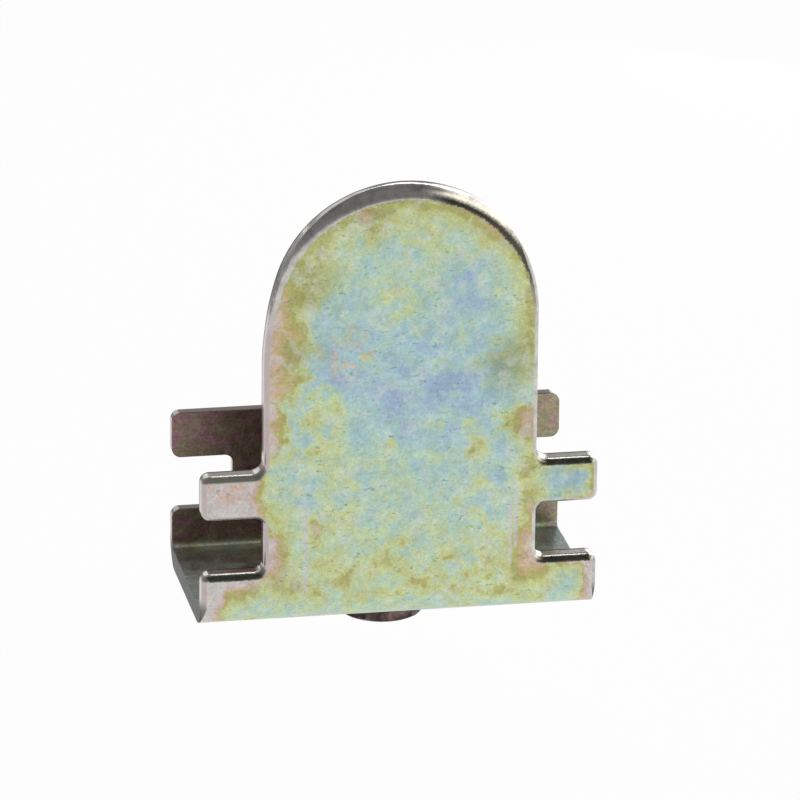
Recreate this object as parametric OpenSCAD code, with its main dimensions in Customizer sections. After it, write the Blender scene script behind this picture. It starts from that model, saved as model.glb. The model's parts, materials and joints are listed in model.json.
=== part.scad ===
// Rail end stop: a folded sheet bracket that sits in an open C-section rail,
// with a captive nut under its web and a clamp screw that bears on the rail's floor.
// Millimetres. X runs across the rail, Y along it, Z away from its floor.
// The origin is on the screw's axis, at the underside of the nut.

/* [Bracket] */
// Width across the tabs
width = 34; // [30:0.5:42]
// Depth over both plates, along the rail
depth = 17.8; // [15:0.1:26]
// Height of the front plate above the web's underside
front_height = 38.8; // [32:0.2:60]
// Width of the front plate above the tabs, and of both plates between the slots
neck_width = 23.4; // [16:0.2:25]
// Thickness of the sheet
sheet = 1.6; // [1.2:0.1:2]
// Inside radius of the two folds
fold_radius = 0.4; // [0.2:0.1:1.4]
// Outside radius of the two folds, where bending has stretched the sheet
outer_fold = 3; // [2:0.1:3.4]

/* [Tabs] */
// Height of the lower tabs above the web's underside
lower_tab_height = 5.1; // [4.8:0.1:7]
// Height of the slots that take the rail's lips
slot_height = 4.8; // [4.6:0.1:7]
// Height of the upper tabs
upper_tab_height = 4; // [3:0.1:7]
// Radius on the outer corners of the tabs
tab_radius = 0.8; // [0.5:0.1:1.4]
// Radius in the roots of the slots
slot_radius = 0.7; // [0.3:0.1:1.2]
// Radius where the upper tabs run into the front plate's sides
neck_radius = 1; // [0.3:0.1:2]
// Radius of the blanked edge, rolled over on the sheet's outer side
edge_roll = 0.6; // [0.2:0.05:0.7]
// Radius of the same edge at the top of the crown, where it is deepest
crown_roll = 1.3; // [0.6:0.1:1.4]

/* [Nut] */
// Thread diameter of the nut and the screw
thread_d = 4; // [3:0.5:5]
// Size of the nut across its flats
nut_flats = 7; // [6:0.1:9]
// Thickness of the nut
nut_height = 2.2; // [1.8:0.1:4]
// Angle of the chamfer on the nut's corners
nut_chamfer = 30; // [15:1:35]

/* [Screw] */
// Length of the screw under its head
screw_length = 10; // [8:0.5:12]
// Diameter of the pan head
head_d = 7; // [6:0.1:9]
// Height of the pan head
head_height = 2.6; // [2:0.1:3.5]
// Radius of the head's domed top
head_dome = 6.5; // [5.5:0.1:12]
// Width of the cross recess over its wings
recess_span = 4; // [3:0.1:4.4]
// Width of one wing of the cross recess
recess_wing = 1.1; // [0.7:0.1:1.4]
// Depth of the cross recess
recess_depth = 1.7; // [1:0.1:1.9]

/* [Clearances] */
// Gap around the screw in the nut's bore
thread_clearance = 0.05; // [0.02:0.01:0.1]
// Gap around the screw in the web's hole
hole_clearance = 0.25; // [0.15:0.05:0.5]

/* [Hidden] */
$fn = 96;
e = 1;                    // overrun of a cut past its face
roll_e = 0.2;             // the same for the rolled edge, less than any root radius
web_z = nut_height;
slot_z = web_z + lower_tab_height;
upper_z = slot_z + slot_height;
rear_top = upper_z + upper_tab_height;
front_top = web_z + front_height;
crown_z = front_top - neck_width / 2;
roll_r = min(edge_roll, 0.85 * tab_radius);
crown_r = max(roll_r, min(crown_roll, 0.85 * sheet));
crown_runout = 0.75 * crown_r;
fold_runout = 1.6 * roll_r;
screw_r = thread_d / 2 - thread_clearance;
screw_tip_chamfer = thread_d / 8;

// A square whose corner at [r, r] is bitten out by an arc: the web of a fillet
module fillet_2d(r) {
    difference() {
        square(r);
        translate([r, r]) circle(r);
    }
}

// A bar of tabs across the plate, from z0 up, with rounded outer corners
module tab_bar_2d(z0, h, round_bottom) {
    difference() {
        translate([-width / 2, z0]) square([width, h]);
        for (side = [0, 1]) mirror([side, 0]) {
            translate([width / 2, z0 + h]) rotate(180) fillet_2d(tab_radius);
            if (round_bottom) translate([width / 2, z0]) rotate(90) fillet_2d(tab_radius);
        }
    }
}

// What both plates share: tabs, slots between them and the rounded slot roots
module tabbed_2d() {
    tab_bar_2d(web_z, lower_tab_height, false);
    tab_bar_2d(upper_z, upper_tab_height, true);
    translate([-neck_width / 2, web_z]) square([neck_width, rear_top - web_z]);
    for (side = [0, 1]) mirror([side, 0]) {
        translate([neck_width / 2, slot_z]) fillet_2d(slot_radius);
        translate([neck_width / 2, upper_z]) rotate(-90) fillet_2d(slot_radius);
    }
}

module front_2d() {
    tabbed_2d();
    translate([-neck_width / 2, rear_top]) square([neck_width, crown_z - rear_top]);
    translate([0, crown_z]) circle(neck_width / 2);
    for (side = [0, 1]) mirror([side, 0])
        translate([neck_width / 2, rear_top]) fillet_2d(neck_radius);
}

// Outline of a U-shaped trough seen along X, with rounded lower corners
module trough_2d(inset, r) {
    w = depth - 2 * inset;
    translate([-w / 2, web_z + inset + r]) square([w, front_height + e]);
    translate([-w / 2 + r, web_z + inset]) square([w - 2 * r, front_height]);
    for (side = [-1, 1])
        translate([side * (w / 2 - r), web_z + inset + r]) circle(r);
}

module folded_sheet() {
    rotate([90, 0, 90])
        translate([0, 0, -width / 2 - e])
            linear_extrude(width + 2 * e)
                difference() {
                    trough_2d(0, outer_fold);
                    trough_2d(sheet, fold_radius);
                }
}

// Section of the metal that the rolled edge lacks: x in from the edge, y in from the face
module roll_2d(r = roll_r) {
    difference() {
        translate([-roll_e, -roll_e]) square(r + roll_e);
        translate([r, r]) circle(r);
    }
}

// Rolled edge along a straight stretch that starts at p, runs at angle a and has the sheet
// on its left. These three draw on the sheet's outer face, with z into the sheet.
module straight_roll(p, a, len) {
    translate(p) rotate(a) rotate([90, 0, 90]) linear_extrude(len) roll_2d();
}

// Rolled edge round an outer corner. It runs out where a runout moves the centre off the corner's.
module corner_roll(centre, r, a, sweep, roll = roll_r) {
    translate(centre) rotate(a) rotate_extrude(angle = sweep)
        translate([r, 0]) mirror([1, 0]) roll_2d(roll);
}

// Rolled edge round an inner corner
module root_roll(centre, r, a) {
    translate(centre) rotate(a) rotate_extrude(angle = 90) translate([r, 0]) roll_2d();
}

// Rolled edge down the right side of a plate, from the upper tab to the fold
module tabs_roll() {
    tab_x = width / 2 - tab_radius;
    root_x = neck_width / 2 + slot_radius;
    for (top = [rear_top, slot_z])
        corner_roll([tab_x, top - tab_radius], tab_radius, 0, 90);
    straight_roll([width / 2, upper_z + tab_radius], 90, upper_tab_height - 2 * tab_radius);
    corner_roll([tab_x, upper_z + tab_radius], tab_radius, -90, 90);
    straight_roll([root_x, upper_z], 0, tab_x - root_x);
    root_roll([root_x, upper_z - slot_radius], slot_radius, 90);
    straight_roll([neck_width / 2, slot_z + slot_radius], 90, slot_height - 2 * slot_radius);
    root_roll([root_x, slot_z + slot_radius], slot_radius, 180);
    straight_roll([tab_x, slot_z], 180, tab_x - root_x);
    straight_roll([width / 2, web_z + outer_fold], 90, lower_tab_height - outer_fold - tab_radius);
}

// Rolled edge of the front plate above the tabs, right side
module front_roll() {
    root_x = neck_width / 2 + neck_radius;
    tab_x = width / 2 - tab_radius;
    straight_roll([tab_x, rear_top], 180, tab_x - root_x);
    root_roll([root_x, rear_top + neck_radius], neck_radius, 180);
    straight_roll([neck_width / 2, rear_top + neck_radius], 90, crown_z - rear_top - neck_radius);
    corner_roll([0, crown_z], neck_width / 2, 0, 90);
    corner_roll([0, crown_z - crown_runout], neck_width / 2 + crown_runout, 0, 90, crown_r);
}

// Rolled edge at the right end of the front fold, which runs out towards the web
module fold_roll() {
    r = outer_fold + fold_runout;
    translate([width / 2, -depth / 2 + r, web_z + outer_fold])
        rotate([0, -90, 0]) corner_roll([0, 0], r, 180, 90);
}

// Puts a drawing of the outer face, with z into the sheet, on the front plate
module on_front() {
    translate([0, -depth / 2, 0]) mirror([0, 1, 0]) rotate([90, 0, 0]) children();
}

module edge_rolls() {
    for (side = [0, 1]) mirror([side, 0, 0]) {
        on_front() front_roll();
        for (plate = [0, 1]) mirror([0, plate, 0]) {
            on_front() tabs_roll();
            fold_roll();
        }
    }
    mirror([0, 1, 0]) on_front()
        straight_roll([width / 2 - tab_radius, rear_top], 180, width - 2 * tab_radius);
}

module bracket() {
    color("khaki")
        difference() {
            intersection() {
                folded_sheet();
                union() {
                    rotate([90, 0, 0]) linear_extrude(depth) front_2d();
                    translate([0, depth, 0]) rotate([90, 0, 0]) linear_extrude(depth) tabbed_2d();
                }
            }
            edge_rolls();
            translate([0, 0, web_z - e])
                cylinder(r = thread_d / 2 + hole_clearance, h = sheet + 2 * e);
        }
}

module nut() {
    corner = nut_flats / sqrt(3);
    flat_r = 0.475 * nut_flats;
    cone_h = nut_height;
    color("dimgray")
        difference() {
            intersection() {
                cylinder(r = corner, h = nut_height, $fn = 6);
                cylinder(r1 = flat_r, r2 = flat_r + cone_h / tan(nut_chamfer), h = cone_h);
            }
            translate([0, 0, -e]) cylinder(d = thread_d, h = nut_height + 2 * e);
        }
}

module cross_recess() {
    intersection() {
        translate([0, 0, -recess_depth])
            cylinder(r1 = recess_wing / 2, r2 = recess_span / 2 + 0.3, h = recess_depth + 0.3);
        for (turn = [0, 90]) rotate(turn)
            translate([-recess_span, -recess_wing / 2, -recess_depth])
                cube([2 * recess_span, recess_wing, recess_depth + e]);
    }
}

module clamp_screw() {
    color("silver") {
        cylinder(r1 = screw_r - screw_tip_chamfer, r2 = screw_r, h = screw_tip_chamfer);
        translate([0, 0, screw_tip_chamfer])
            cylinder(r = screw_r, h = screw_length - screw_tip_chamfer);
        translate([0, 0, screw_length])
            difference() {
                intersection() {
                    cylinder(d = head_d, h = head_height);
                    translate([0, 0, head_height - head_dome]) sphere(head_dome);
                }
                translate([0, 0, head_height]) cross_recess();
            }
    }
}

bracket();
nut();
clamp_screw();
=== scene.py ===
import json
import math

import bmesh
import bpy
from mathutils import Matrix, Vector

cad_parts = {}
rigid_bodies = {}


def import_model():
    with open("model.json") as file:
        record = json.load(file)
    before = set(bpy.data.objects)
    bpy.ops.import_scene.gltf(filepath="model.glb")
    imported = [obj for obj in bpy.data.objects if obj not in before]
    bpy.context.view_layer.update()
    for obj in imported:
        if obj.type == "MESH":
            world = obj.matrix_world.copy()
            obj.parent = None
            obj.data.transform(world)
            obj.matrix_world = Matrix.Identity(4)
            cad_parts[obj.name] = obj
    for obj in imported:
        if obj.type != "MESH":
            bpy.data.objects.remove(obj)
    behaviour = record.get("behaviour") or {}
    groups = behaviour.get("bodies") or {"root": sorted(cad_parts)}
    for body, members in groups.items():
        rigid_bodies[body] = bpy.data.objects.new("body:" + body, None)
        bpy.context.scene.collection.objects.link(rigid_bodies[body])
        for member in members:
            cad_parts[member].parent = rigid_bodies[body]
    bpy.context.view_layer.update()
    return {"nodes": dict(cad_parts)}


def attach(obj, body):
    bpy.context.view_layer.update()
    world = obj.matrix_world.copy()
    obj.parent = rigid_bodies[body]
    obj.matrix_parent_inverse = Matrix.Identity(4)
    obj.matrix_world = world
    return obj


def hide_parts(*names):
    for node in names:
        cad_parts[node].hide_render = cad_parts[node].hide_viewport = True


# Looks for the rail end stop. Lengths are in millimetres, in the frame's own axes: X across the rail,
# Y along it, Z up. MM turns them into Blender's metres.
MM = 0.001

# The sheet, as the CAD part has it
WIDTH = 34.0
DEPTH = 17.8
NECK = 23.4
SHEET = 1.6
WEB_Z = 2.2
OUTER_FOLD = 3.0
SLOT_Z = 7.3
UPPER_Z = 12.1
REAR_TOP = 16.1
FRONT_TOP = 41.0
CROWN_Z = FRONT_TOP - NECK / 2
FOLD_TOP = WEB_Z + OUTER_FOLD

# The crown leans this much to the right: its left flank, from one height to another, and its top.
# The flank's lean passes into the top's over LEAN_BLEND either side of the middle.
FLANK_LEAN = 0.55
FLANK_FROM, FLANK_TO = 25.5, 32.5
TOP_LEAN = 0.28
TOP_FROM = 31.0
LEAN_BLEND = 3.0
LEAN_CUTS = 10

# The thread, M4: its pitch and half angle, the segments of a turn, and how much of the groove's
# depth is left where it has run out
PITCH = 0.7
THREAD_HALF_ANGLE = math.radians(30)
THREAD_SEGMENTS = 48
LEAST_DEPTH = 0.06
# In the screw and in the nut: the surface's radius, how far off it the cutter starts, how deep it
# cuts and how high it reaches
SCREW_R, SCREW_START, SCREW_GROOVE, SCREW_REACH = 1.95, 0.04, 0.38, 9.2
BORE_R, BORE_START, BORE_GROOVE, BORE_REACH = 2.0, 0.03, 0.2, 5 * PITCH
# The underside of the screw's head, and the gap kept under it at full travel
HEAD_Z = 10.0
SEAT_GAP = 0.02
# Edges of the nut and the screw sharper than this aren't shaded smooth
SHARP_ANGLE = math.radians(28)
# Points this close are the same: in metres, and in height in millimetres
WELD_M = 1e-7
SAME_HEIGHT = 1e-3

# The camera: where it stands, in degrees round the part and above it, its roll, what it looks at and
# from how far, its lens, and the nearest and farthest that it sees
AZIMUTH, ELEVATION, ROLL = 10.91, 19.8, 0.608
TARGET = (1.52, 0, 18.92)
DISTANCE = 625
LENS, SENSOR = 330, 36
NEAR, FAR = 10, 20000
# The floor, just below the screw's full reach, half its width, and how much of its white doesn't
# depend on the light
FLOOR_Z = -7
FLOOR_HALF = 600
FLOOR_GLOW = 0.97
# Soft boxes: name, place, width and height, radiance
LIGHTS = [("back_right_box", (95, 158, 33), (85, 76), 1.2),
          ("back_left_lamp", (-125, 340, 80), (18, 16), 3.0),
          ("overhead_strip", (11, 21, 67), (44, 8), 4.0)]


def srgb(red, green, blue):
    """A colour written as 0 to 255 sRGB, as the linear colour that a shader takes."""
    def linear(level):
        level /= 255
        return level / 12.92 if level <= 0.04045 else ((level + 0.055) / 1.055) ** 2.4
    return linear(red), linear(green), linear(blue), 1.0


def grey(level):
    return (level, level, level, 1)


# ---------------------------------------------------------------- palettes

# Reflected surroundings, from low to high: the wall in front, the room behind, the soft box. The room
# has a pale patch: its colour, and how much of it shows.
WALL = [(0.0, grey(1.0)), (0.16, grey(0.8)), (0.4, grey(0.3)), (1.0, grey(0.23))]
ROOM = [(0.0, grey(0.6)), (0.33, grey(0.46)), (0.62, grey(0.3)), (1.0, grey(0.2))]
SOFT_BOX = [(0.0, (0.9, 0.88, 0.82, 1)), (1.0, (1.8, 1.75, 1.56, 1))]
PALE_PATCH = (grey(1.0), 0.8)

# Colours that the yellow passivation takes as its film thickens, on the sheet's outer side
FILM = [(0.00, srgb(174, 176, 212)), (0.08, srgb(168, 190, 214)), (0.18, srgb(172, 202, 212)),
        (0.30, srgb(176, 206, 202)), (0.42, srgb(188, 212, 190)), (0.54, srgb(199, 213, 166)),
        (0.64, srgb(202, 206, 146)), (0.71, srgb(179, 180, 113)), (0.80, srgb(200, 178, 134)),
        (0.87, srgb(210, 186, 168)), (0.94, srgb(208, 192, 190)), (1.00, srgb(210, 202, 200))]
# Coats on it: a colour, and the share of it where the coat is fullest
FLECK = (srgb(218, 196, 158), 0.75)
SCUFF = (srgb(206, 204, 214), 0.65)
PALE = (srgb(212, 218, 210), 0.42)
PIT = (srgb(100, 128, 124), 0.7)
# The duller, browner film inside the channel: on the plates, then on the web
INNER = [(0.0, srgb(128, 138, 126)), (0.3, srgb(150, 144, 114)), (0.5, srgb(150, 132, 120)),
         (0.7, srgb(170, 122, 140)), (1.0, srgb(144, 130, 142))]
WEB = [(0.0, srgb(184, 206, 208)), (0.5, srgb(200, 212, 204)), (1.0, srgb(206, 206, 188))]
# The sheared edges: everywhere, in the dark band on the tabs' tops, which is a painted dark reflection, and
# at the ends of the web, darkened there as painted shade
SHEARED = [(0.3, srgb(166, 162, 160)), (0.5, srgb(200, 198, 194)), (0.7, srgb(218, 216, 210))]
TAB_DARK_REFLECTION = [(0.35, srgb(74, 78, 68)), (0.65, srgb(112, 114, 102))]
WEB_END_PAINTED_SHADE = [(0.3, srgb(92, 96, 84)), (0.7, srgb(136, 138, 126))]
# Coats on them: at the left, along the crown's right flank (a painted dark reflection), on the tabs' tops (a
# painted highlight), along the inner side
PINK_EDGE = (srgb(184, 170, 168), 0.8)
CROWN_DARK_REFLECTION = (srgb(84, 82, 74), 1.0)
TAB_TOP_HIGHLIGHT = (srgb(240, 238, 228), 0.9)
BURR = (srgb(120, 116, 112), 0.8)
# The nut, its dark colour partly its zinc and partly painted shade, and the screw
DARK_ZINC_AND_PAINTED_SHADE = [(0.0, srgb(44, 44, 40)), (0.5, srgb(88, 74, 70)), (1.0, srgb(160, 126, 126))]
BRIGHT_ZINC = [(0.0, srgb(150, 152, 156)), (0.5, srgb(182, 184, 186)), (1.0, srgb(204, 203, 196))]

# Patterns on the sheet: shift, scale, detail, roughness and distortion of the noise
PATTERNS = {"broad": ((2, 11, 6), 0.25, 3, 0.5, 0.3), "patch": ((31, 7, 3), 0.62, 4, 0.55, 0.4),
            "fine": ((5, 17, 11), 1.9, 6, 0.72, 0.3), "blotch": ((13, 5, 23), 0.9, 7, 0.72, 0.0),
            "loose": ((19, 23, 29), 1.1, 5, 0.7, 0.6), "pale": ((41, 3, 19), 0.75, 5, 0.6, 0.5),
            "inner": ((3, 3, 9), 0.6, 9, 0.85, 0.6), "grain": ((0, 0, 0), 5.0, 6, 0.7, 0.0),
            "streak": ((0, 0, 0), 0.8, 5, 0.65, 0.0)}
# How much the first three of them change the film's thickness
LAYERS = (("broad", 0.55), ("patch", 0.82), ("fine", 0.36))
# How thick the film is in the middle of the front plate, from the fold up to the crown
BY_HEIGHT = [(2.2, 0.38), (4.8, 0.58), (7.5, 0.56), (10.2, 0.48), (12.9, 0.41), (15.6, 0.35), (18.3, 0.31),
             (21.0, 0.24), (24.0, 0.19), (26.4, 0.23), (29.1, 0.31), (31.8, 0.38), (34.5, 0.45), (37.0, 0.50)]
# Stains: x and z of the middle, radius, how much thicker the film is there and how much darker it looks
STAINS = [(-8.6, 31.0, 1.6, 0.04, 0.08), (-8.2, 26.8, 2.0, 0.10, 0.16), (-7.2, 33.0, 2.4, 0.16, 0.18),
          (-3.2, 26.2, 0.6, 0.34, 0.0), (-2.6, 28.2, 0.8, -0.10, 0.10), (-5.4, 30.4, 0.7, 0.0, 0.16),
          (5.6, 19.2, 1.4, 0.30, 0.0), (6.6, 17.4, 1.3, 0.34, 0.0), (8.1, 15.0, 0.9, -0.20, 0.06),
          (9.7, 25.4, 2.8, 0.16, 0.26), (8.2, 23.6, 2.2, 0.12, 0.16), (10.2, 19.6, 2.2, 0.30, 0.12),
          (4.8, 33.6, 1.9, -0.14, 0.03), (6.4, 31.0, 1.9, -0.14, 0.03), (7.6, 28.4, 1.9, -0.10, 0.02),
          (10.9, 22.0, 0.9, -0.44, 0.0), (2.8, 23.4, 0.8, -0.40, 0.08), (4.0, 23.5, 0.9, -0.40, 0.12),
          (5.2, 23.4, 0.8, -0.36, 0.08), (-0.8, 22.4, 1.2, -0.12, 0.03),
          (-1.4, 21.0, 1.1, -0.12, 0.03), (-1.0, 18.2, 0.9, 0.26, 0.0), (-11.5, 9.0, 2.4, 0.20, 0.0),
          (15.0, 5.0, 1.6, -0.16, 0.06), (-14.0, 4.4, 2.8, -0.34, 0.0), (-2.2, 38.0, 2.2, 0.10, 0.14),
          (6.6, 35.6, 2.4, 0.02, 0.02), (14.2, 14.0, 3.0, -0.24, 0.10), (12.2, 6.2, 2.4, -0.16, 0.0),
          (-6.0, 21.2, 2.6, 0.26, 0.0), (-6.6, 17.4, 3.0, 0.24, 0.0), (-2.0, 14.6, 3.0, 0.10, 0.0),
          (0.5, 30.5, 2.2, 0.08, 0.0), (-5.6, 10.0, 2.6, 0.06, 0.0), (-7.2, 12.2, 3.0, 0.12, 0.0),
          (-8.2, 22.6, 1.6, 0.14, 0.0), (-9.2, 6.5, 2.0, 0.08, 0.0)]
# The middle of the loose flecks, as x, 0 and z
FLECKS_AT = (-4.6, 0.0, 26.6)
# Scuffs left by the folding die: x, lower z, upper z
SCUFFS = [(-8.2, 5.0, 13.5), (9.4, 6.5, 13.0), (9.9, 8.0, 15.0)]
# How far noise pulls a border about: a stain's sideways and up, the rim's, a scuff's, and the one
# between a face and its sheared edge, which is in parts of the tilt
STAIN_PULL = (3.4, -2.6)
RIM_PULL = 6.0
SCUFF_PULL = 0.5
EDGE_PULL = 0.45
# The film is nowhere thinner than this share of the fine noise
THINNEST = 0.18
# Radius over which the shader rounds the pieces' sharp edges
BEVEL = 0.08
# Roughness of the faces and of the sheared edges, from one end of their noise to the other, how much
# it changes on the nut and the screw, and how high the bumps of all three are
FACE_ROUGH, EDGE_ROUGH, FASTENER_ROUGH = (0.30, 0.42), (0.14, 0.24), 0.14
FACE_BUMP, EDGE_BUMP, FASTENER_BUMP = 0.012, 0.02, 0.006
# Most of a noise lies between these, and nearly all of it between those
MOST = (0.3, 0.7)
NEARLY_ALL = (0.28, 0.72)


# ---------------------------------------------------------------- node helpers

class Tree:
    """Adds shader nodes one by one. Each method returns the new node's output socket."""

    def __init__(self, owner):
        owner.use_nodes = True
        self.tree = owner.node_tree
        self.tree.nodes.clear()

    def node(self, kind, values=None, **settings):
        made = self.tree.nodes.new(kind)
        for name, value in settings.items():
            setattr(made, name, value)
        for name, value in (values or {}).items():
            self.feed(made.inputs[name], value)
        return made

    def feed(self, socket, value):
        if isinstance(value, bpy.types.NodeSocket):
            self.tree.links.new(value, socket)
        else:
            socket.default_value = value

    def math(self, operation, *values):
        return self.node("ShaderNodeMath", dict(enumerate(values)), operation=operation).outputs[0]

    def plus(self, first, second):
        return self.math("ADD", first, second)

    def minus(self, first, second):
        return self.math("SUBTRACT", first, second)

    def times(self, value, *factors):
        for factor in factors:
            value = self.math("MULTIPLY", value, factor)
        return value

    def plus_times(self, value, first, second):
        """The value plus the product of the other two."""
        return self.math("MULTIPLY_ADD", first, second, value)

    def least(self, first, second):
        return self.math("MINIMUM", first, second)

    def most(self, first, second):
        return self.math("MAXIMUM", first, second)

    def inverse(self, mask):
        return self.minus(1.0, mask)

    def centred(self, noise):
        """A noise that swings about zero."""
        return self.minus(noise, 0.5)

    def vector(self, operation, first, second=(0, 0, 0)):
        made = self.node("ShaderNodeVectorMath", {0: first, 1: second}, operation=operation)
        return made.outputs["Value" if operation in ("LENGTH", "DISTANCE") else "Vector"]

    def split(self, vector):
        return self.node("ShaderNodeSeparateXYZ", {0: vector}).outputs

    def join(self, x, y, z):
        return self.node("ShaderNodeCombineXYZ", {0: x, 1: y, 2: z}).outputs[0]

    def step(self, value, start, end, low=0.0, high=1.0, curve="SMOOTHSTEP"):
        """From low at start to high at end, and level beyond them."""
        made = self.node("ShaderNodeMapRange", interpolation_type=curve)
        for socket, given in zip(made.inputs, (value, start, end, low, high)):
            self.feed(socket, given)
        return made.outputs[0]

    def line(self, value, start, end, low=0.0, high=1.0):
        """The same along a straight line."""
        return self.step(value, start, end, low, high, "LINEAR")

    def noise(self, vector, scale, detail, rough, distort=0.0):
        return self.node("ShaderNodeTexNoise", {"Vector": vector, "Scale": scale, "Detail": detail,
                                                "Roughness": rough, "Distortion": distort}).outputs[0]

    def ramp(self, factor, stops):
        made = self.node("ShaderNodeValToRGB", {0: factor})
        elements = made.color_ramp.elements
        while len(elements) < len(stops):
            elements.new(0.5)
        for element, (place, colour) in zip(elements, stops):
            element.position = place
            element.color = colour
        return made.outputs[0]

    def mix(self, factor, first, second, blend="MIX"):
        """From the first colour at 0 to the second at 1."""
        colours = {0: factor, 6: first, 7: second}
        return self.node("ShaderNodeMix", colours, data_type="RGBA", blend_type=blend).outputs[2]

    def blend(self, factor, first, second):
        """The same for plain numbers."""
        numbers = {0: factor, 2: first, 3: second}
        return self.node("ShaderNodeMix", numbers, data_type="FLOAT").outputs[0]

    def shade(self, colour, level):
        """The colour made darker or lighter by a factor."""
        return self.mix(1.0, colour, self.join(level, level, level), "MULTIPLY")

    def coat(self, colour, mask, coat):
        """The colour under a coat, which is a tint and its share where the mask is 1."""
        tint, share = coat
        return self.mix(self.times(mask, share), colour, tint)

    def place(self):
        """Position in millimetres and the surface normal, both in the piece's own axes."""
        coords = self.node("ShaderNodeTexCoord").outputs
        return self.vector("MULTIPLY", coords["Object"], (1 / MM,) * 3), coords["Normal"]

    def ray(self, question):
        """1 for the rays that the question is true of."""
        return self.node("ShaderNodeLightPath").outputs[question]

    def surface(self, shader):
        self.tree.links.new(shader, self.node("ShaderNodeOutputMaterial").inputs["Surface"])

    def metal(self, colour, roughness, height, tint=grey(1.0)):
        """Ends the tree in a metal with bumps `height` millimetres high. Tint is for grazing angles."""
        rounded = self.node("ShaderNodeBevel", {"Radius": BEVEL * MM}, samples=4).outputs[0]
        bumped = self.node("ShaderNodeBump", {"Strength": 1.0, "Distance": MM, "Height": height,
                                              "Normal": rounded})
        made = self.node("ShaderNodeBsdfPrincipled", {"Base Color": colour, "Roughness": roughness,
                                                      "Metallic": 1.0, "Normal": bumped.outputs[0],
                                                      "Specular Tint": tint})
        self.surface(made.outputs[0])


# ---------------------------------------------------------------- camera, floor, light

def facing(place, away):
    """The matrix of what stands at a place, in metres, and looks the other way than `away`."""
    return Matrix.Translation(place) @ away.to_track_quat("Z", "Y").to_matrix().to_4x4()


def make_camera():
    """A long lens from the front left, a little above the part."""
    azimuth, elevation, roll = (math.radians(angle) for angle in (AZIMUTH, ELEVATION, ROLL))
    away = Vector((-math.sin(azimuth) * math.cos(elevation),
                   -math.cos(azimuth) * math.cos(elevation),
                   math.sin(elevation)))
    camera = bpy.data.objects.new("camera", bpy.data.cameras.new("camera"))
    camera.data.lens = LENS
    camera.data.sensor_width = SENSOR
    camera.data.clip_start = NEAR * MM
    camera.data.clip_end = FAR * MM
    place = Vector(TARGET) * MM + DISTANCE * MM * away
    camera.matrix_world = facing(place, away) @ Matrix.Rotation(roll, 4, "Z")
    bpy.context.scene.collection.objects.link(camera)
    bpy.context.scene.camera = camera


def floor_material():
    """White for what sees it, but dim far behind on the left for mirrors. It lightens its shadow and
    is clear from below."""
    material = bpy.data.materials.new("pale_floor")
    tree = Tree(material)
    lit = tree.node("ShaderNodeBsdfDiffuse", {"Color": grey(0.9)}).outputs[0]
    x, y, _ = tree.split(tree.node("ShaderNodeNewGeometry").outputs["Position"])
    behind = tree.step(y, 110 * MM, 160 * MM)
    left = tree.step(x, -10 * MM, -40 * MM)
    glossy = tree.ray("Is Glossy Ray")
    dim = tree.times(behind, left, glossy)
    white = tree.node("ShaderNodeEmission", {"Color": tree.mix(dim, grey(1.0), grey(0.3)), "Strength": 1.0})
    seen = tree.most(tree.ray("Is Camera Ray"), tree.most(glossy, tree.ray("Is Transmission Ray")))
    pale = tree.node("ShaderNodeMixShader", {0: tree.times(seen, FLOOR_GLOW), 1: lit, 2: white.outputs[0]})
    below = tree.node("ShaderNodeNewGeometry").outputs["Backfacing"]
    clear = tree.node("ShaderNodeBsdfTransparent").outputs[0]
    tree.surface(tree.node("ShaderNodeMixShader", {0: below, 1: pale.outputs[0], 2: clear}).outputs[0])
    return material


def make_floor():
    """A square floor under the part."""
    half = FLOOR_HALF * MM
    mesh = bpy.data.meshes.new("floor")
    mesh.from_pydata([(-half, -half, 0), (half, -half, 0), (half, half, 0), (-half, half, 0)],
                     [], [(0, 1, 2, 3)])
    mesh.materials.append(floor_material())
    floor = bpy.data.objects.new("floor", mesh)
    floor.location.z = FLOOR_Z * MM
    bpy.context.scene.collection.objects.link(floor)


def make_world():
    """White behind the part for the camera. To reflect: a pale wall low in front and higher at the
    left, a dim room behind with a pale patch in it, a dark ceiling and a broad soft box at the right.
    Numbers are parts of a ray's direction, from -1 to 1."""
    world = bpy.data.worlds.new("studio")
    bpy.context.scene.world = world
    tree = Tree(world)
    right, back, up = tree.split(tree.node("ShaderNodeTexCoord").outputs["Generated"])
    over = tree.minus(up, tree.step(right, 0.0, -0.3, 0.0, 0.12))
    wall = tree.ramp(tree.line(over, -0.1, 0.4), WALL)
    room = tree.ramp(tree.line(up, -0.4, 0.8), ROOM)
    room = tree.mix(tree.step(back, 0.15, -0.35), room, wall)
    patch = tree.times(tree.step(right, 0.06, -0.06), tree.step(right, -0.44, -0.32),
                       tree.step(up, 0.16, 0.26), tree.step(back, 0.6, 0.8))
    room = tree.coat(room, patch, PALE_PATCH)
    box = tree.times(tree.step(right, 0.38, 0.50), tree.step(up, 0.88, 0.76), tree.step(back, -0.9, -0.7))
    room = tree.mix(box, room, tree.ramp(tree.step(up, 0.02, 0.4), SOFT_BOX))
    seen = tree.mix(tree.ray("Is Camera Ray"), room, grey(1.0))
    sky = tree.node("ShaderNodeBackground", {"Color": seen, "Strength": 1.0})
    tree.tree.links.new(sky.outputs[0], tree.node("ShaderNodeOutputWorld").inputs["Surface"])


def make_light(name, place, size, radiance):
    """A soft box that faces the middle of the part. Its radiance is 1 for white."""
    light = bpy.data.objects.new(name, bpy.data.lights.new(name, "AREA"))
    light.data.shape = "RECTANGLE"
    light.data.size, light.data.size_y = (length * MM for length in size)
    light.data.energy = radiance * math.pi * light.data.size * light.data.size_y
    centre = Vector(place) * MM
    light.matrix_world = facing(centre, centre - Vector((0, 0, FRONT_TOP / 2)) * MM)
    light.visible_camera = False
    bpy.context.scene.collection.objects.link(light)


# ---------------------------------------------------------------- the sheet's masks

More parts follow.
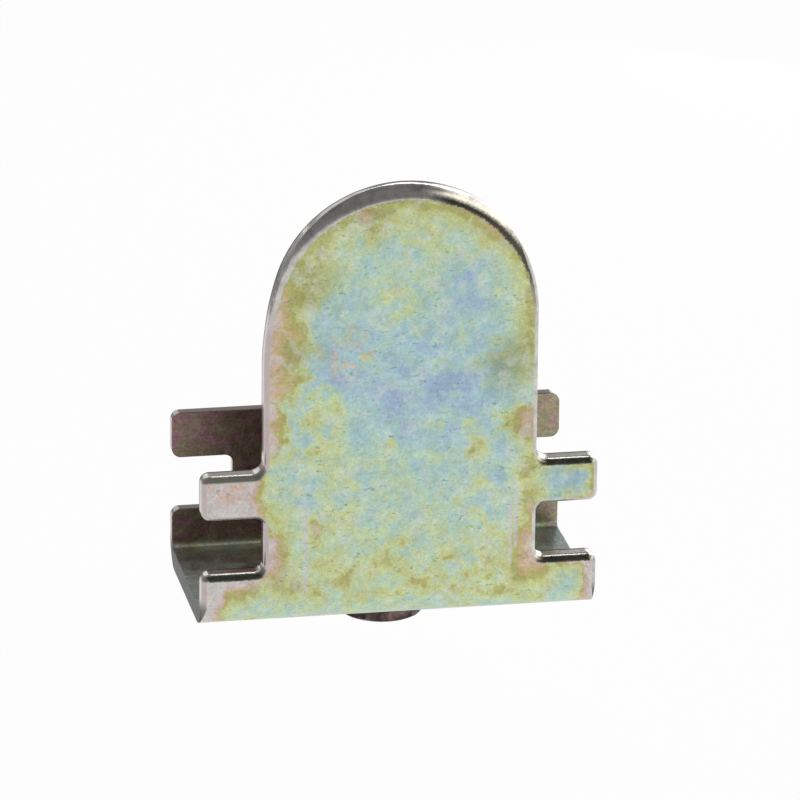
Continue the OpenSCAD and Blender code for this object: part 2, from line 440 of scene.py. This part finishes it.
class Sheet(Tree):
    """The sheet's shader, with what its layers share: a point's place, the patterns, and masks for the
    burr, the ends of the web, the crown and the tabs' tops. The edge's tilt is also kept torn by the
    grain."""

    def __init__(self, material):
        super().__init__(material)
        self.where, normal = self.place()
        self.x, self.y, self.z = self.split(self.where)
        self.along, _, self.up = self.split(normal)
        self.grain = self.pattern("grain")
        self.blotch = self.pattern("blotch")
        self.streak = self.pattern("streak")
        self.depth = depth_in_sheet(self)
        self.burr = self.step(self.depth, SHEET - 0.32, SHEET - 0.08)
        self.web_end = self.step(self.z, FOLD_TOP, WEB_Z + SHEET)
        self.crown = self.step(self.z, CROWN_Z - 2, CROWN_Z + 4)
        self.tilt = edge_tilt(self)
        self.torn = self.plus_times(self.tilt, self.centred(self.grain), EDGE_PULL)
        self.tab_top = tab_tops(self)

    def pattern(self, name):
        """One of the PATTERNS, at the point."""
        shift, *shape = PATTERNS[name]
        return self.noise(self.vector("ADD", self.where, shift), *shape)


def edge_distance(sheet):
    """How far in from the front plate's outline a point of it lies."""
    above = sheet.most(sheet.minus(sheet.z, CROWN_Z), 0.0)
    neck = sheet.minus(NECK / 2, sheet.vector("LENGTH", sheet.join(sheet.x, above, 0.0)))
    end = sheet.minus(WIDTH / 2, sheet.math("ABSOLUTE", sheet.x))
    upper = sheet.least(sheet.minus(REAR_TOP, sheet.z), sheet.minus(sheet.z, UPPER_Z))
    lower = sheet.minus(SLOT_Z, sheet.z)
    return sheet.most(neck, sheet.least(sheet.most(upper, lower), end))


def depth_in_sheet(sheet):
    """0 on the sheet's outer side, SHEET on the side that faces the channel."""
    side = sheet.minus(sheet.math("ABSOLUTE", sheet.y), DEPTH / 2 - OUTER_FOLD)
    down = sheet.minus(FOLD_TOP, sheet.z)
    corner = sheet.vector("LENGTH", sheet.join(sheet.most(side, 0.0), sheet.most(down, 0.0), 0.0))
    beyond = sheet.least(sheet.most(side, down), 0.0)
    return sheet.minus(OUTER_FOLD, sheet.plus(corner, beyond))


def edge_tilt(sheet):
    """0 on the faces of the blank, 1 on its sheared edges. In between is the sine of the roll's tilt."""
    upright = sheet.step(sheet.z, FOLD_TOP, FOLD_TOP + 0.4)
    return sheet.vector("LENGTH", sheet.join(sheet.along, sheet.times(sheet.up, upright), 0.0))


def tab_tops(sheet):
    """1 on the front plate's edges that face up, below the crown."""
    share = sheet.math("DIVIDE", sheet.up, sheet.most(sheet.tilt, 0.02))
    in_front = sheet.step(sheet.y, 0.0, -4.0)
    return sheet.times(sheet.step(share, 0.6, 0.95), sheet.step(sheet.tilt, 0.02, 0.08),
                       in_front, sheet.inverse(sheet.crown))


def flecks(sheet):
    """1 on the loose pale orange flecks at the upper left of the front plate."""
    off = sheet.vector("DISTANCE", sheet.join(sheet.x, 0.0, sheet.z), FLECKS_AT)
    return sheet.times(sheet.step(off, 3.2, 1.2), sheet.step(sheet.pattern("loose"), 0.48, 0.60))


def scuffs(sheet):
    """1 on the scuffs left by the folding die."""
    x = sheet.plus_times(sheet.x, sheet.centred(sheet.blotch), SCUFF_PULL)
    total = 0.0
    for across, low, high in SCUFFS:
        off = sheet.math("ABSOLUTE", sheet.minus(x, across))
        ends = sheet.times(sheet.step(sheet.z, low, low + 0.6), sheet.step(sheet.z, high, high - 0.6))
        total = sheet.plus_times(total, sheet.step(off, 0.24, 0.08), ends)
    return total


def pits(sheet):
    """1 in the pits and short scratches, which lie in some patches only."""
    scratched = sheet.noise(sheet.vector("MULTIPLY", sheet.where, (1.3, 1.3, 3.2)), 1.0, 5, 0.7)
    return sheet.times(sheet.step(scratched, 0.56, 0.68), sheet.step(sheet.blotch, 0.44, 0.56))


# ---------------------------------------------------------------- the sheet's film

def stained(sheet, film, ragged):
    """The film with its stains, and how dark they look."""
    sideways, upwards = STAIN_PULL
    spot = sheet.join(sheet.plus_times(sheet.x, ragged, sideways), 0.0,
                      sheet.plus_times(sheet.z, ragged, upwards))
    dark = 0.0
    for across, height, radius, amount, shade in STAINS:
        off = sheet.vector("DISTANCE", spot, (across, 0.0, height))
        stain = sheet.step(off, radius * 1.2, radius * 0.3)
        film = sheet.plus_times(film, stain, amount)
        if shade:
            dark = sheet.plus_times(dark, stain, shade)
    return film, dark


def left_border(sheet, film, rim, fine):
    """The film with its left border: pink at the very edge, then orange and olive, and widest
    beside the crown."""
    wide = sheet.times(rim, sheet.step(sheet.z, 25.0, 20.0, 1.0, 2.0))
    outermost = sheet.step(sheet.z, 31.0, 34.0, 0.92, 0.74)
    border = sheet.line(wide, 0.2, 3.4, outermost, 0.64)
    border = sheet.plus_times(border, sheet.centred(fine), 0.4)
    beside = sheet.times(sheet.step(sheet.x, -4.5, -7.0), sheet.step(sheet.z, 16.5, 18.5))
    return sheet.blend(sheet.times(beside, sheet.step(wide, 5.0, 2.9)), film, border)


def on_tabs(sheet, film, rim):
    """The film with what the tabs add: thick at the left, thin at the right but for their tips' rim."""
    film = sheet.plus(film, sheet.step(sheet.x, -11.2, -13.0, 0.0, 0.36))
    tip = sheet.times(sheet.step(sheet.x, 13.0, 15.0), sheet.step(rim, 1.6, 0.4, 0.0, 0.36))
    return sheet.plus(film, sheet.plus(tip, sheet.step(sheet.x, 12.0, 13.5, 0.0, -0.2)))


def outer_film(sheet):
    """Film thickness over the front plate, thin and blue in the middle and thick and brown at the rim,
    and how dark its stains are."""
    stops = [((height - WEB_Z) / (FRONT_TOP - WEB_Z), grey(film)) for height, film in BY_HEIGHT]
    film = sheet.ramp(sheet.line(sheet.z, WEB_Z, FRONT_TOP), stops)
    noises = {name: sheet.pattern(name) for name, _ in LAYERS}
    for name, amount in LAYERS:
        film = sheet.plus_times(film, sheet.centred(noises[name]), amount)
    fine = noises["fine"]
    ragged = sheet.plus_times(sheet.centred(noises["patch"]), sheet.centred(fine), 0.5)
    film, dark = stained(sheet, film, ragged)
    film = sheet.most(film, sheet.times(fine, THINNEST))
    # thicker along the rim, and a little at the right
    rim = sheet.plus_times(edge_distance(sheet), ragged, RIM_PULL)
    film = sheet.plus(film, sheet.step(rim, 2.9, 0.7, 0.0, 0.24))
    film = sheet.plus(film, sheet.step(sheet.x, 8.5, 11.0, 0.0, 0.07))
    film = left_border(sheet, film, rim, fine)
    return on_tabs(sheet, film, rim), dark


# ---------------------------------------------------------------- materials

def outer_colour(sheet):
    """The mottled outer faces."""
    film, dark = outer_film(sheet)
    colour = sheet.shade(sheet.ramp(film, FILM), sheet.inverse(dark))
    colour = sheet.coat(colour, flecks(sheet), FLECK)
    colour = sheet.coat(colour, scuffs(sheet), SCUFF)
    return sheet.coat(colour, sheet.step(sheet.pattern("pale"), 0.48, 0.66), PALE)


def inner_grain_and_painted_light(sheet, web):
    """The grain of the inside, with painted light and shade on top: brighter at the right and at the upper
    left tab, darker low at the far left and on the web at the right.
    """
    tone = sheet.line(sheet.grain, *MOST, 0.72, 1.28)
    # Painted light and shade: lighter plate and darker web at the right, and at the far left lighter high up
    # and darker low down.
    on_plate = sheet.step(sheet.x, 10.0, 12.0, 0.0, 0.28)
    on_web = sheet.step(sheet.x, 10.0, 12.0, 0.08, -0.22)
    tone = sheet.plus(tone, sheet.blend(web, on_plate, on_web))
    upper = sheet.step(sheet.z, 8.0, 12.0, -0.14, 0.12)
    return sheet.plus_times(tone, sheet.step(sheet.x, -13.0, -15.0), upper)


def inner_colour(sheet):
    """The duller inside of the channel."""
    stain = sheet.plus(sheet.pattern("inner"), sheet.step(sheet.x, 8.0, 14.0, 0.0, -0.07))
    stain = sheet.line(stain, *NEARLY_ALL)
    web = sheet.step(sheet.z, WEB_Z + SHEET + 0.5, WEB_Z + SHEET + 0.2)
    colour = sheet.mix(web, sheet.ramp(stain, INNER), sheet.ramp(stain, WEB))
    return sheet.shade(colour, inner_grain_and_painted_light(sheet, web))


def face_colour(sheet):
    """Both sides of the sheet, with pits, and with a tone that changes from patch to patch and from
    grain to grain."""
    inward = sheet.step(sheet.depth, SHEET * 0.6, SHEET * 0.95)
    colour = sheet.mix(inward, outer_colour(sheet), inner_colour(sheet))
    colour = sheet.coat(colour, pits(sheet), PIT)
    tone = sheet.plus(sheet.line(sheet.blotch, 0.34, 0.66, 0.83, 1.17),
                      sheet.line(sheet.grain, *MOST, -0.17, 0.17))
    return sheet.shade(colour, tone)


def sheared_colour(sheet):
    """The sheared edges: zinc grey, pinker at the left and duller at the ends of the web, where the darkness
    is painted shade. The crown's right flank has a dark ragged line beside the face, a painted dark
    reflection; the tabs' upper edges have a painted highlight and a dark band, a painted dark reflection."""
    colour = sheet.ramp(sheet.streak, SHEARED)
    left = sheet.times(sheet.step(sheet.x, 0.0, -9.0), sheet.inverse(sheet.crown))
    colour = sheet.coat(colour, left, PINK_EDGE)
    # Painted dark reflection: a ragged dark line along the crown's right flank, beside the face.
    right = sheet.times(sheet.step(sheet.x, 1.5, 4.0), sheet.crown)
    dark = sheet.times(sheet.step(sheet.torn, 0.62, 0.38), right)
    colour = sheet.coat(colour, dark, CROWN_DARK_REFLECTION)
    # Painted highlight: the tabs' tops are coated near white where light glints off them.
    colour = sheet.coat(colour, sheet.tab_top, TAB_TOP_HIGHLIGHT)
    # Painted dark reflection: a dark band on the tabs' tops, fainter on the upper left tab.
    upper_left = sheet.times(sheet.step(sheet.x, -11.0, -13.0), sheet.step(sheet.z, 10.0, 14.0, 0.0, 0.5))
    band = sheet.times(sheet.step(sheet.torn, 0.98, 0.76), sheet.inverse(upper_left), sheet.tab_top)
    colour = sheet.mix(band, colour, sheet.ramp(sheet.streak, TAB_DARK_REFLECTION))
    colour = sheet.coat(colour, sheet.burr, BURR)
    # Painted shade: the ends of the web are darkened.
    return sheet.mix(sheet.web_end, colour, sheet.ramp(sheet.streak, WEB_END_PAINTED_SHADE))


def sheet_material():
    """Zinc-plated, yellow-passivated sheet: mottled faces, a browner inside and grey sheared edges,
    which start sooner at the crown and on the tabs' tops."""
    material = bpy.data.materials.new("yellow_zinc_sheet")
    sheet = Sheet(material)
    early = sheet.most(sheet.crown, sheet.tab_top)
    edge = sheet.blend(early, sheet.step(sheet.tilt, 0.24, 0.42), sheet.step(sheet.torn, 0.06, 0.14))
    colour = sheet.mix(edge, face_colour(sheet), sheared_colour(sheet))
    rough = sheet.blend(edge, sheet.step(sheet.blotch, *MOST, *FACE_ROUGH),
                        sheet.step(sheet.grain, *MOST, *EDGE_ROUGH))
    height = sheet.blend(edge, sheet.times(sheet.grain, FACE_BUMP), sheet.times(sheet.streak, EDGE_BUMP))
    # Duller reflections: real on the burr, painted shade at the ends of the web.
    matt_burr_and_painted_shade = sheet.times(edge, sheet.most(sheet.web_end, sheet.burr))
    sheet.metal(colour, rough, height, sheet.mix(matt_burr_and_painted_shade, grey(1.0), grey(0.4)))
    return material


def fastener_material(name, stops, scale, rough, painted_side_shade):
    """Plated steel for the nut and the screw, mottled from one end of stops to the other. Where it faces
    sideways it is darker by the given side factor, as painted shade."""
    material = bpy.data.materials.new(name)
    tree = Tree(material)
    place, normal = tree.place()
    stain = tree.noise(place, scale, 6, 0.65, 0.6)
    grain = tree.noise(place, 7.0, 4, 0.6)
    sideways = tree.math("ABSOLUTE", tree.split(normal)[0])
    # Painted shade on the facets that face sideways.
    colour = tree.shade(tree.ramp(tree.line(stain, *NEARLY_ALL), stops),
                        tree.step(sideways, 0.3, 0.5, 1.0, painted_side_shade))
    roughness = tree.step(grain, *MOST, rough, rough + FASTENER_ROUGH)
    tree.metal(colour, roughness, tree.times(grain, FASTENER_BUMP))
    return material


# ---------------------------------------------------------------- pieces

def thread_cutter(opening, bottom, start, end):
    """The groove of an M4 thread as a solid, from radius `opening` to radius `bottom`. Its depth runs
    out over the last half turn."""
    steps = round((end - start) / PITCH * THREAD_SEGMENTS)
    mesh = bmesh.new()
    rings = []
    for step in range(steps + 1):
        angle = 2 * math.pi * step / THREAD_SEGMENTS
        height = start + PITCH * step / THREAD_SEGMENTS
        left = min(1.0, (steps - step) / (THREAD_SEGMENTS / 2))
        deep = opening + (bottom - opening) * max(left, LEAST_DEPTH)
        floor = PITCH / 8
        mouth = floor + abs(deep - opening) * math.tan(THREAD_HALF_ANGLE)
        ring = ((opening, -mouth), (deep, -floor), (deep, floor), (opening, mouth))
        rings.append([mesh.verts.new((radius * math.cos(angle) * MM, radius * math.sin(angle) * MM,
                                      (height + rise) * MM)) for radius, rise in ring])
    for one, two in zip(rings, rings[1:]):
        for side in range(4):
            after = (side + 1) % 4
            mesh.faces.new((one[side], one[after], two[after], two[side]))
    mesh.faces.new(rings[0])
    mesh.faces.new(rings[-1])
    bmesh.ops.recalc_face_normals(mesh, faces=mesh.faces)
    data = bpy.data.meshes.new("thread_cutter")
    mesh.to_mesh(data)
    mesh.free()
    return bpy.data.objects.new("thread_cutter", data)


def smooth(value, start, end):
    """Smoothly from 0 at start to 1 at end."""
    share = min(1.0, max(0.0, (value - start) / (end - start)))
    return share * share * (3 - 2 * share)


def stand_for(piece, node, body, material):
    """Gives a piece its material and body, and lets it stand for a CAD node."""
    piece.data.materials.clear()
    piece.data.materials.append(material)
    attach(piece, body)
    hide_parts(node)


def cut_across(data, heights):
    """Adds edges round a mesh at the given heights and keeps the normals of its faces."""
    kept = data.attributes.new("kept_normal", "FLOAT_VECTOR", "CORNER")
    for corner, normal in zip(kept.data, data.corner_normals):
        corner.vector = normal.vector
    mesh = bmesh.new()
    mesh.from_mesh(data)
    for height in heights:
        everything = [*mesh.verts, *mesh.edges, *mesh.faces]
        bmesh.ops.bisect_plane(mesh, geom=everything, dist=WELD_M, plane_co=(0, 0, height * MM),
                               plane_no=(0, 0, 1))
    mesh.to_mesh(data)
    mesh.free()
    kept = data.attributes["kept_normal"]
    data.normals_split_custom_set([corner.vector.normalized() for corner in kept.data])
    data.attributes.remove(data.attributes["kept_normal"])


def leaning_bracket():
    """A copy of the bracket whose crown leans a little to the right, in the plane of its plate."""
    piece = bpy.data.objects.new("folded_bracket", frame["nodes"]["bracket"].data.copy())
    bpy.context.scene.collection.objects.link(piece)
    rise = CROWN_Z - FLANK_FROM
    cut_across(piece.data, [FLANK_FROM + rise * cut / LEAN_CUTS for cut in range(LEAN_CUTS)])
    for vertex in piece.data.vertices:
        x, z = vertex.co.x / MM, vertex.co.z / MM
        top = TOP_LEAN * smooth(z, TOP_FROM, FRONT_TOP)
        flank = FLANK_LEAN * smooth(z, FLANK_FROM, FLANK_TO)
        flank += (TOP_LEAN - FLANK_LEAN) * smooth(z, TOP_FROM, FRONT_TOP)
        right = smooth(x, -LEAN_BLEND, LEAN_BLEND)
        vertex.co.x += (right * top + (1 - right) * flank) * MM
    return piece


def lift_seat(piece):
    """Leaves a hair's gap under the screw's head, which sits on the web at full travel."""
    for vertex in piece.data.vertices:
        if abs(vertex.co.z / MM - HEAD_Z) < SAME_HEIGHT:
            vertex.co.z += SEAT_GAP * MM


def threaded(node, name, cutter, body, material):
    """A copy of a CAD node with the thread cut into it, which then stands for the node."""
    source = bmesh.new()
    source.from_mesh(frame["nodes"][node].data)
    bmesh.ops.remove_doubles(source, verts=source.verts, dist=WELD_M)
    data = bpy.data.meshes.new(name)
    source.to_mesh(data)
    source.free()
    piece = bpy.data.objects.new(name, data)
    objects = bpy.context.scene.collection.objects
    objects.link(piece)
    objects.link(cutter)
    cut = piece.modifiers.new("thread", "BOOLEAN")
    cut.operation = "DIFFERENCE"
    cut.solver = "EXACT"
    cut.object = cutter
    bpy.context.view_layer.update()
    graph = bpy.context.evaluated_depsgraph_get()
    piece.data = bpy.data.meshes.new_from_object(piece.evaluated_get(graph))
    piece.data.name = name
    piece.modifiers.clear()
    bpy.data.objects.remove(cutter)
    piece.data.shade_smooth()
    piece.data.set_sharp_from_angle(angle=SHARP_ANGLE)
    stand_for(piece, node, body, material)
    return piece


# ---------------------------------------------------------------- build

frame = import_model()
bpy.context.scene.view_settings.view_transform = "Standard"

make_camera()
make_floor()
make_world()
for light in LIGHTS:
    make_light(*light)

stand_for(leaning_bracket(), "bracket", "stop", sheet_material())
nut_cutter = thread_cutter(BORE_R - BORE_START, BORE_R + BORE_GROOVE, -PITCH, BORE_REACH)
# The nut's dark colour is partly its zinc and partly painted shade; its darker side facets are painted shade.
nut_metal = fastener_material("dark_zinc_nut_painted_shade", DARK_ZINC_AND_PAINTED_SHADE, scale=0.6, rough=0.3, painted_side_shade=0.4)
threaded("nut", "thin_nut", nut_cutter, "stop", nut_metal)
screw_cutter = thread_cutter(SCREW_R + SCREW_START, SCREW_R - SCREW_GROOVE, -PITCH, SCREW_REACH)
screw_metal = fastener_material("bright_zinc_screw", BRIGHT_ZINC, scale=0.5, rough=0.24, painted_side_shade=1.0)
screw = threaded("clamp_screw", "pan_head_screw", screw_cutter, "screw", screw_metal)
lift_seat(screw)
